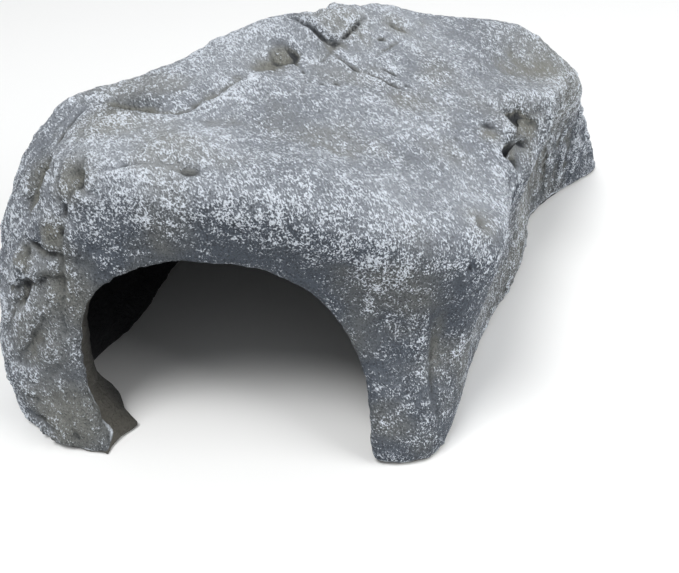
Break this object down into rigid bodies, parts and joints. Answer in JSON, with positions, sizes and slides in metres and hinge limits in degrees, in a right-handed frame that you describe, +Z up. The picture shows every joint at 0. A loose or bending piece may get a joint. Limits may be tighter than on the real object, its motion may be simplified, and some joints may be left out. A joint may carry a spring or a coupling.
{
  "type": "aquarium cave ornament",
  "caption": "Hollow cast-resin rock cave for an aquarium or pond, open underneath, with an arched mouth at the front and a flared foot at the back right.",
  "frame": {"origin": "centre of the bounding box at the level of the rim the casting stands on", "axes": "+X along the length towards the flared foot, +Y from the arched mouth to the back, +Z up"},
  "size_m": [0.1956, 0.1582, 0.084],
  "materials": {
    "painted_resin": "matte filled resin, painted blue-grey and dry-brushed with pale grey to look like rock, bare on the rim and inside"
  },
  "bodies": {
    "root": {"cave_shell": "painted_resin"}
  },
  "joints": []
}
